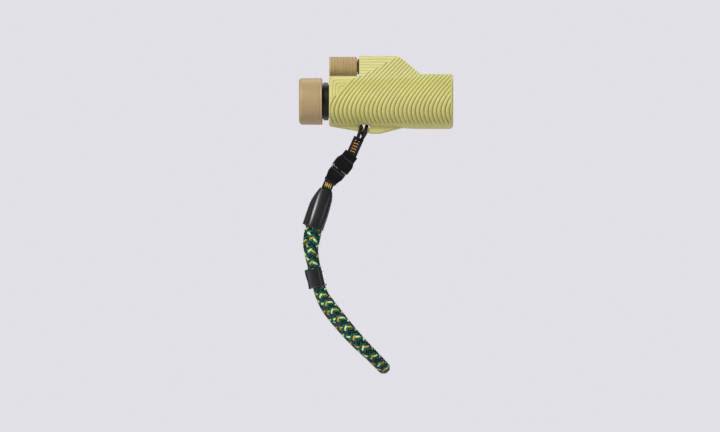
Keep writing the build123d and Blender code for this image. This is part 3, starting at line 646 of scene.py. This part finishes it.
def tube_points(line, radius, around):
    """Rings of points round a line. The radius is one number, or a column of one for each."""
    first, second = frames_along(line)
    ring = np.linspace(0, 2 * math.pi, around, endpoint=False)
    return line[:, None] + radius * (np.cos(ring)[None, :, None] * first[:, None]
                                     + np.sin(ring)[None, :, None] * second[:, None])


def braid(line, at, radius, carriers, lead, width, thick):
    """The strands of a tubular braid: half of them wind each way, over two and under two."""
    first, second = frames_along(line)
    ring = np.linspace(0, 2 * math.pi, 8, endpoint=False)
    lift = thick * 0.42
    middle = radius - thick / 2 - lift
    parts, uvs = [], []
    for way in (1, -1):
        for number in range(carriers):
            angle = 2 * math.pi * (way * at / lead + number / carriers)
            crossing = 2 * carriers * at / lead
            beat = 2 * number + way * crossing - (0.5 if way == 1 else 2.5)
            height = np.clip(1.7 * np.cos(2 * math.pi * beat / 4), -1, 1)
            out = np.cos(angle)[:, None] * first + np.sin(angle)[:, None] * second
            path = line + out * (middle + lift * height)[:, None]
            run = np.gradient(path, axis=0)
            run /= np.linalg.norm(run, axis=1)[:, None]
            across = np.cross(run, out)
            points = (path[:, None]
                      + across[:, None] * (np.cos(ring) * width / 2)[None, :, None]
                      + out[:, None] * (np.sin(ring) * thick / 2)[None, :, None])
            parts.append(grid_part(points, caps=True))
            share = np.broadcast_to((np.cos(ring) + 1) / 2, (len(at), len(ring)))
            walk = np.broadcast_to((at / MM)[:, None], share.shape)
            uvs.append(np.stack([walk, share], axis=-1).reshape(-1, 2))
    return parts, uvs


def core_part(line, radius):
    points = tube_points(line, radius, 16)
    return grid_part(points, caps=True), np.zeros((points.shape[0] * points.shape[1], 2))


def build_rope():
    """The wrist rope: eight strands each way, of which one is light, one gold and two dark."""
    line, at = nurbs_line("rope_route", ROPE_ROUTE, 0.00055)
    parts, uvs = braid(line, at, ROPE_DIAMETER / 2, len(ROPE_STRANDS), lead=0.0176,
                       width=0.00184, thick=0.00112)
    core, core_uv = core_part(line, ROPE_DIAMETER / 2 - 0.0012)
    chosen = [ROPE_MATERIALS.index(material) for material in 2 * ROPE_STRANDS + [ROPE_CORE]]
    rope = mesh_object("wrist_rope_braid", parts + [core], ROPE_MATERIALS, chosen,
                       uvs + [core_uv])
    finish_piece(rope, "right_barrel", "braided_rope", "wrist_rope")


def build_lug_cord():
    """The thin black cord that ties the webbing to the lug."""
    line, at = nurbs_line("lug_cord_route", LUG_CORD_ROUTE, 0.00022)
    parts, uvs = braid(line, at, LUG_CORD_DIAMETER / 2 + 0.00022, LUG_CORD_STRANDS, lead=0.0050,
                       width=0.00132, thick=0.00056)
    core, core_uv = core_part(line, LUG_CORD_DIAMETER / 2 - 0.0004)
    cord = mesh_object("lug_cord_braid", parts + [core], [CORD_BLACK, ROPE_CORE],
                       [0] * len(parts) + [1], uvs + [core_uv])
    finish_piece(cord, "right_barrel", "lug_cord_fabric", "lug_cord")


build_rope()
build_lug_cord()


# ---------------------------------------------------------------- armour

AXIS_Y = 32.0
BACK_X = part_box("right_armour")[0].x / MM
FRONT_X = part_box("right_armour")[1].x / MM
HUMP_TOP = 34.0
BARREL_TOP = 18.5
RIB_PITCH = 3.15
RIB_DEPTH = 0.90
RIB_START_X = -38.5        # where one rib stands at the height of its bulge
RIB_BULGE_Z = -8.1
RIB_LEAN = 14.4
RIB_REACH = 14.0
RIB_END_Z = -17.0
LINE_PITCH = 2.2
LINE_DEPTH = 0.42
LINE_SHADE_SHARE = 0.85           # how dark the painted shade in a line is beside a rib's groove
EDGE_ROUND = 1.2           # inside this much of the barrel's radius nothing is cut
ARMOUR_VOXEL = 0.00036
ARMOUR_TRIANGLES = 188000
# Where the ribs begin, as (z, x): the rear corner of the barrel, then the hump's mitre.
RIB_BORDER = [(-30, -75), (1.5, -62), (3.7, -54), (7.4, -51), (11.8, -48), (14.0, -45.9),
              (16.3, -42.2), (18.5, -36.3), (32.2, -11.1), (34.0, -7.8)]


def valley(phase, power):
    """0 on the crest of a rib and 1 at the bottom of the groove beside it."""
    return np.abs(2 * (phase - np.round(phase))) ** power


def rib_relief(points, normals, side):
    """How deep the ribs and lines cut into the armour, in millimetres, and the groove's share,
    which sets the painted shade and highlight.
    """
    x, y, z = (points / MM).T
    lean = RIB_LEAN * (np.sqrt(1 + ((z - RIB_BULGE_Z) / RIB_REACH) ** 2) - 1)
    ribs = valley((x - RIB_START_X - lean) / RIB_PITCH, 3.2)
    from_back, from_top = x - BACK_X, BARREL_TOP - z
    nested = -np.log(np.exp(-from_back) + np.exp(-np.maximum(from_top, -5.0)))
    corner = valley(nested / LINE_PITCH + 0.15, 4)
    crest = valley((HUMP_TOP - z) / LINE_PITCH + 0.4, 4)
    lines = np.where((z < 17.2) & (x < -37.0), corner, crest)
    border = np.interp(z, *zip(*RIB_BORDER))
    ribbed = smoothstep(-0.5, 0.5, x - border)
    outward = normals[:, 1] * side
    shown = smoothstep(0.04, 0.22, outward) * smoothstep(RIB_END_Z - 0.5, RIB_END_Z + 0.5, z)
    shown *= smoothstep(0.92, 0.75, -normals[:, 0]) * smoothstep(FRONT_X - 0.9, FRONT_X - 1.6, x)
    shown *= smoothstep(BACK_X + 0.3, BACK_X + 1.3, x)
    from_axis = np.hypot(y - side * AXIS_Y, z)
    shown *= np.where(from_axis < BARREL_TOP - EDGE_ROUND, 0.0, 1.0)
    depth = shown * (ribbed * RIB_DEPTH * ribs + (1 - ribbed) * LINE_DEPTH * lines)
    return depth, shown * (ribbed * ribs + (1 - ribbed) * LINE_SHADE_SHARE * lines)


def build_armour(name, side):
    piece = softened(f"{name}_armour_ribbed", f"{name}_armour", ARMOUR_VOXEL, 2, ARMOUR)
    mesh = piece.data
    points, normals = points_of(mesh), normals_of(mesh)
    depth, groove = rib_relief(points, normals, side)
    set_points(mesh, points - normals * (depth * MM)[:, None])
    add_groove(mesh, groove)
    triangles = 2 * len(mesh.polygons)
    applied(piece, type="DECIMATE", ratio=min(1.0, ARMOUR_TRIANGLES / triangles))
    smooth_shaded(piece.data)
    finish_piece(piece, f"{name}_barrel", "armour_rubber", f"{name}_armour")


for name, side in SIDES.items():
    build_armour(name, side)


# ---------------------------------------------------------------- turned pieces

def lathe(profile, y, z, around=192, relief=0.0):
    """A ring about a line along X, from an outline of (x, radius) points, less its relief."""
    angle = np.linspace(0, 2 * math.pi, around, endpoint=False)
    profile = np.array(profile, float)
    x = np.repeat(profile[:, :1], around, axis=1)
    radius = profile[:, 1:] - relief
    return np.stack([x, y + radius * np.cos(angle), z + radius * np.sin(angle)], axis=-1)


def arc(centre, radius, start, end, steps):
    """Points of an arc, with angles in degrees from +X."""
    for share in range(steps + 1):
        angle = math.radians(start + (end - start) * share / steps)
        yield (centre[0] + radius * math.cos(angle), centre[1] + radius * math.sin(angle))


def build_eyecup(name, side):
    """Tan rubber sleeve: rolled rear edge, a bead round the front one, slightly flared."""
    low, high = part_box(f"{name}_eyecup")
    y, back, front = side * AXIS_Y * MM, low.x, high.x
    outer = (high.y - low.y) / 2
    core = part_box(f"{name}_eyecup_core")
    core_r, mouth = (core[1].y - core[0].y) / 2, 0.0129
    roll, bead = 0.0021, 0.0010
    profile = [(back + 0.0015, mouth + 0.0003)]
    profile += list(arc((back + 0.0009, mouth + 0.0009), 0.0009, 270, 180, 6))
    profile += list(arc((back + roll, outer - roll - 0.0002), roll, 180, 96, 12))
    flare = np.linspace(back + roll + 0.0006, front - bead - 0.0009, 26)
    profile += [(x, outer - 0.0002 + 0.0001 * (x - back) / (front - back)) for x in flare]
    profile += [(front - bead - 0.0004, outer - 0.00045), (front - bead - 0.0001, outer - 0.00010)]
    profile += list(arc((front - 0.0005, outer - 0.0005), 0.0005, 100, 0, 6))
    profile += [(front, core_r + 0.00002), (back + 0.0015, core_r + 0.00002)]
    piece = mesh_object(f"{name}_eyecup_sleeve",
                        [grid_part(lathe(profile, y, 0.0), close_rows=True)], [CUP])
    finish_piece(piece, f"{name}_eyecup", "cup_rubber", f"{name}_eyecup")


def build_wheel():
    """Focus wheel: turned grooves round it, fine flutes along it."""
    low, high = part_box("focus_wheel")
    z, outer = (low.z + high.z) / 2, (high.z - low.z) / 2
    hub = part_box("focus_wheel_hub")
    inner = (hub[1].z - hub[0].z) / 2
    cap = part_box("wheel_cap")
    cap_r = (cap[1].z - cap[0].z) / 2
    back, front, round_r, step = low.x, high.x, 0.0011, 0.0006
    groove_pitch, groove_depth, flutes, flute_depth = 0.00112, 0.00022, 84, 0.00012
    xs = np.linspace(back + round_r, front - round_r, 190)
    cut = valley((xs - back - round_r) / groove_pitch, 4)
    rear = list(arc((back + round_r, outer - round_r), round_r, 180, 97, 7))
    fore = list(arc((front - round_r, outer - round_r), round_r, 83, 0, 7))
    profile = rear + [(x, outer) for x in xs] + fore
    profile += [(front, inner), (back + step, inner), (back + step, cap_r), (back, cap_r)]
    relief = np.concatenate([np.zeros(len(rear)), cut, np.zeros(len(fore) + 4)])
    body = np.concatenate([np.linspace(0, 1, len(rear)) ** 2, np.ones(len(xs)),
                           np.linspace(1, 0, len(fore)) ** 2, np.zeros(4)])
    around = flutes * 6
    angle = np.linspace(0, 2 * math.pi, around, endpoint=False)
    flute = (0.5 - 0.5 * np.cos(angle * flutes)) ** 1.5
    depth = relief[:, None] * groove_depth + body[:, None] * flute[None] * flute_depth
    points = lathe(profile, 0.0, z, around, depth)
    piece = mesh_object("focus_wheel_knurled", [grid_part(points, close_rows=True)], [WHEEL])
    # The groove share here sets the painted shade in the grooves and flutes.
    add_groove(piece.data, np.clip(relief[:, None] + 0.40 * body[:, None] * flute[None], 0, 1))
    finish_piece(piece, "focus_wheel", "wheel_rubber", "focus_wheel")


def build_wheel_cap():
    """Tan disc in the wheel's end, dished and ringed with one fine groove."""
    hole, dish_depth, ring_r, ring_half, ring_depth = 0.0002, 0.00012, 0.0041, 0.00018, 0.00016
    low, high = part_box("wheel_cap")
    z, outer = (low.z + high.z) / 2, (high.z - low.z) / 2 - 0.00002
    back, front = low.x, high.x
    radii = np.linspace(outer, hole, 40)
    dish = (dish_depth * (1 - (radii / outer) ** 2)
            + ring_depth * (np.abs(radii - ring_r) < ring_half))
    profile = [(front, hole), (front, outer)]
    profile += [(back + d, r) for d, r in zip(dish, radii)]
    piece = mesh_object("wheel_cap_disc", [grid_part(lathe(profile, 0.0, z, 96), caps=True)], [CUP])
    finish_piece(piece, "focus_wheel", "wheel_cap_plastic", "wheel_cap")


for name, side in SIDES.items():
    build_eyecup(name, side)
build_wheel()
build_wheel_cap()


# ---------------------------------------------------------------- strap

STRAP_Y = -0.032
WEB_TOP, BUCKLE_TOP = (-0.0377, -0.0272), (-0.0429, -0.0388)
BUCKLE_END, FERRULE_TOP = (-0.0597, -0.0603), (-0.0619, -0.0654)
FERRULE_END = (-0.0712, -0.0938)
COLLAR_RUN = ((-0.0735, -0.1120), (-0.0666, -0.1415))
WEB_WIDTH, WEB_THICK = 0.0078, 0.0024
STITCH_PITCH = 0.0021
BUCKLE_VOXEL = 0.00020


class Run:
    """A straight stretch of the strap: x down it, y towards the eyepieces, z towards -Y."""

    def __init__(self, start, end):
        self.start = np.array((start[0], STRAP_Y, start[1]))
        self.length = math.dist(start, end)
        self.way = unit((end[0] - start[0], 0, end[1] - start[1]))
        self.left = np.array((self.way[2], 0.0, -self.way[0]))
        self.near = -ALONG_Y

    def place(self, x, y=0.0, z=0.0):
        x, y, z = (np.asarray(v, float)[..., None] for v in (x, y, z))
        return self.start + x * self.way + y * self.left + z * self.near

    def local(self, points):
        away = points - self.start
        return away @ self.way, away @ self.left, away @ self.near


def rounded_section(half_width, half_depth, power, around):
    """A superellipse: power 2 is an ellipse, and a higher one is squarer."""
    angle = np.linspace(0, 2 * math.pi, around, endpoint=False)
    cos, sin = np.cos(angle), np.sin(angle)
    return (half_width * np.sign(cos) * np.abs(cos) ** (2 / power),
            half_depth * np.sign(sin) * np.abs(sin) ** (2 / power))


def build_tape(name, node, run, start, end):
    """Woven tape folded double: soft selvedges, a seam line round its edge, rounded ends."""
    around, rows = 64, 60
    grid, uvs = [], []
    for share in np.linspace(0, 1, rows):
        x = start + (end - start) * share
        end_taper = min(1.0, 0.55 + 0.45 * min(share, 1 - share) * rows / 2)
        wide, deep = rounded_section(WEB_WIDTH / 2, WEB_THICK / 2 * end_taper, 5, around)
        pinch = 1 - 0.05 * np.exp(-(deep / (0.12 * WEB_THICK)) ** 2)
        grid.append(run.place(np.full(around, x), wide * pinch, deep))
        uvs.append(np.stack([np.full(around, x / MM), wide / MM], axis=1))
    piece = mesh_object(name, [grid_part(np.array(grid), caps=True)], [WEBBING], uvs=uvs)
    finish_piece(piece, "right_barrel", "webbing", node)


def thread_part(points, radius, around=8):
    """A short round thread through a few points, with domed ends."""
    points = np.array(points, float)
    run = distances_along(points)
    at = np.linspace(0, run[-1], max(8, 4 * len(points)))
    swell = np.sqrt(np.clip(1 - (2 * at / run[-1] - 1) ** 8, 0.02, 1)) * radius
    grid = tube_points(points_at(at, run, points), swell[:, None, None], around)
    return grid_part(grid, caps=True)


def build_webbings():
    """Both tapes, and the stitches and bar-tack that close them, on both faces."""
    upper, lower, tuck = Run(WEB_TOP, BUCKLE_TOP), Run(BUCKLE_END, FERRULE_TOP), 0.002
    build_tape("upper_tape", "upper_webbing", upper, 0.0, upper.length + tuck)
    build_tape("lower_tape", "lower_webbing", lower, -tuck, lower.length + tuck)
    rungs, tacks = [], []
    face = WEB_THICK / 2 + 0.00008
    for near in (1, -1):
        for x in np.linspace(0.0028, 0.0112, 5):
            knot = [(x - 0.0003, 0.0017), (x + 0.0003, 0.0011)]
            dash = [(x + 0.0002, 0.0007), (x - 0.0003, -0.0006), (x + 0.0001, -0.0018)]
            rungs.append(thread_part([upper.place(a, b, near * face) for a, b in knot], 0.00052))
            rungs.append(thread_part([upper.place(a, b, near * face) for a, b in dash], 0.00027))
        for y in np.linspace(-0.0021, 0.0021, 4):
            stroke = [(0.0002, y + 0.0003), (0.0042, y - 0.0003)]
            tacks.append(thread_part([lower.place(a, b, near * face) for a, b in stroke], 0.00030))
        bar = [(0.0021, -0.0024), (0.0024, 0.0), (0.0021, 0.0024)]
        tacks.append(thread_part([lower.place(a, b, near * face) for a, b in bar], 0.00022))
    stitches = mesh_object("upper_tape_stitching", rungs, [ORANGE_THREAD])
    finish_piece(stitches, "right_barrel", "webbing")
    tack = mesh_object("lower_tape_bar_tack", tacks, [YELLOW_THREAD])
    finish_piece(tack, "right_barrel", "webbing")


def build_buckle():
    """Side-release buckle: crowned faces, with a raised lip across each half."""
    run = Run(BUCKLE_TOP, BUCKLE_END)
    lips = {"buckle_socket": (0.0052, 0.0146), "buckle_plug": (0.0166, 0.0262)}
    bodies = {"buckle_socket": "right_barrel", "buckle_plug": "right_barrel",
              "buckle_prong_front": "prong_front", "buckle_prong_back": "prong_back"}
    for node, body in bodies.items():
        piece = softened(node + "_moulded", node, BUCKLE_VOXEL, 9, BUCKLE)
        if node in lips:
            points = points_of(piece.data)
            x, y, z = run.local(points)
            outer = smoothstep(0.0018, 0.0024, np.abs(z)) * np.sign(z)
            crown = 0.0005 * (1 - np.clip(y / 0.0072, -1, 1) ** 2)
            lip = sum(0.00035 * np.exp(-((x - at) / 0.0007) ** 2) for at in lips[node])
            lip = lip * smoothstep(0.0064, 0.0050, np.abs(y))
            hollow = -0.0004 * np.exp(-((x - np.mean(lips[node])) / 0.0022) ** 2
                                      - (y / 0.0034) ** 2)
            set_points(piece.data, points + ((crown + lip + hollow) * outer)[:, None] * run.near)
        finish_piece(piece, body, "buckle_plastic", node)


FERRULE_LENGTH = 0.02988


def ferrule_size(x):
    """Half the width and half the depth of the ferrule at a distance down it."""
    share = np.clip(x / FERRULE_LENGTH, 0, 1)
    width = 0.0146 - 0.0050 * np.exp(-5.5 * share)
    depth = 0.0224 - 0.0168 * (1 - share) ** 1.6
    return width / 2, depth / 2


def sleeve_grid(run, outer_rings, recess):
    """A sleeve's outer wall, its rolled mouth and a dark recess behind the mouth."""
    return grid_part(np.array([run.place(np.full(len(w), x), w, d)
                               for x, w, d in outer_rings + recess]), caps=True)


def flange_part(run, xs, edge, out, thick):
    """The two layers of leather that meet in a seam along one side."""
    around = 16
    rows = []
    for x, y, stand in zip(xs, edge, out):
        wide, deep = rounded_section(stand / 2 + 0.0006, thick / 2, 3.5, around)
        rows.append(run.place(np.full(around, x), y + stand / 2 - 0.0006 + wide, deep))
    return grid_part(np.array(rows), caps=True)


def seam_stitches(run, xs, edge, out, thick):
    """Short threads in a row along a seam, on both of its faces."""
    parts = []
    count = int((xs[-1] - xs[0] - 0.002) / STITCH_PITCH)
    for number in range(count):
        x = xs[0] + 0.0012 + number * STITCH_PITCH
        y = np.interp(x, xs, edge) + np.interp(x, xs, out) * 0.45
        for near in (1, -1):
            ends = [run.place(x, y, near * (thick / 2)),
                    run.place(x + STITCH_PITCH * 0.62, y + 0.0001, near * (thick / 2))]
            parts.append(thread_part(ends, 0.00019, 6))
    return parts


def build_ferrule():
    """Leather sleeve that gathers both ends of the rope onto the webbing."""
    run = Run(FERRULE_TOP, FERRULE_END)
    around, rings = 96, []
    for x in np.linspace(0, FERRULE_LENGTH, 50):
        half_w, half_d = ferrule_size(x)
        share = x / FERRULE_LENGTH
        wave = 1 + 0.012 * math.sin(x / 0.0024) * share
        wide, deep = rounded_section(half_w * wave, half_d, 2.7 + 0.5 * share, around)
        rings.append((x, wide, deep))
    first_x, first_w, first_d = rings[0]
    mouth = [(first_x + 0.0004, first_w * 0.80, first_d * 0.72)]
    last_x, last_w, last_d = rings[-1]
    wall = 0.0011
    inner_w, inner_d = last_w * (1 - wall / np.max(last_w)), last_d * (1 - wall / np.max(last_d))
    lip = [(last_x + 0.00035, (last_w + inner_w) / 2, (last_d + inner_d) / 2),
           (last_x, inner_w, inner_d), (last_x - 0.004, inner_w * 0.99, inner_d * 0.99)]
    xs = np.linspace(0.0030, FERRULE_LENGTH - 0.0002, 40)
    edge = ferrule_size(xs)[0]
    out = 0.0015 * smoothstep(0.0010, 0.0140, xs)
    seam_thick = 0.0020
    flange = flange_part(run, xs, edge, out, seam_thick)
    piece = mesh_object("ferrule_leather", [sleeve_grid(run, mouth + rings, lip), flange],
                        [LEATHER])
    finish_piece(piece, "right_barrel", "black_leather", "strap_ferrule")
    stitches = mesh_object("ferrule_stitching", seam_stitches(run, xs, edge, out, seam_thick),
                           [GREY_THREAD])
    finish_piece(stitches, "right_barrel", "black_leather")


def build_collar():
    """Leather band that slides on the two strands, closed by a stitched seam."""
    run = Run(*COLLAR_RUN)
    low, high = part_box("rope_slider")
    length, middle = 0.0146, 0.0190
    wall, half_w, half_d = 0.0008, 0.00625, (high.y - low.y) / 2
    start = middle - length / 2
    rings = []
    for x in np.linspace(0, length, 24):
        edge_roll = 0.0002 * (1 - min(1.0, min(x, length - x) / 0.0008)) ** 2
        pinch = 1 - 0.010 * math.sin(math.pi * x / length)
        wide, deep = rounded_section(half_w * pinch - edge_roll, half_d - edge_roll, 2.6, 96)
        rings.append((start + x, wide, deep))
    inner = [(x, w * (1 - wall / half_w), d * (1 - wall / half_d)) for x, w, d in rings[::-1]]
    grid = np.array([run.place(np.full(len(w), x), w, d) for x, w, d in rings + inner])
    xs = np.linspace(start + 0.0002, start + length + 0.0001, 24)
    edge = np.full(24, half_w - 0.0002)
    out = np.full(24, 0.0014) + 0.0002 * np.sin(np.linspace(0, 7, 24))
    seam_thick = 0.0018
    flange = flange_part(run, xs, edge, out, seam_thick)
    piece = mesh_object("collar_leather", [grid_part(grid, close_rows=True), flange], [LEATHER])
    finish_piece(piece, "rope_slider", "black_leather", "rope_slider")
    stitches = mesh_object("collar_stitching", seam_stitches(run, xs, edge, out, seam_thick),
                           [GREY_THREAD])
    finish_piece(stitches, "rope_slider", "black_leather")


build_webbings()
build_buckle()
build_ferrule()
build_collar()


# ---------------------------------------------------------------- small marks

def build_diopter_mark():
    """White index pip on the diopter ring."""
    pip_r, pip_rise, sunk = 0.0006, 0.00012, 0.00004
    low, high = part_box("diopter_ring")
    x, y, top = (low.x + high.x) / 2, (low.y + high.y) / 2, high.z
    rings = []
    for share in np.linspace(0, 1, 8):
        angle = np.linspace(0, 2 * math.pi, 24, endpoint=False)
        radius = pip_r * math.cos(share * math.pi / 2) + 0.00001
        rise = pip_rise * math.sin(share * math.pi / 2) - sunk
        rings.append(np.stack([x + radius * np.cos(angle), y + radius * np.sin(angle),
                               np.full(24, top + rise)], axis=1))
    piece = mesh_object("diopter_mark", [grid_part(np.array(rings), caps=True)], [WHITE_MARK])
    finish_piece(piece, "diopter_ring", "neck_plastic")


build_diopter_mark()
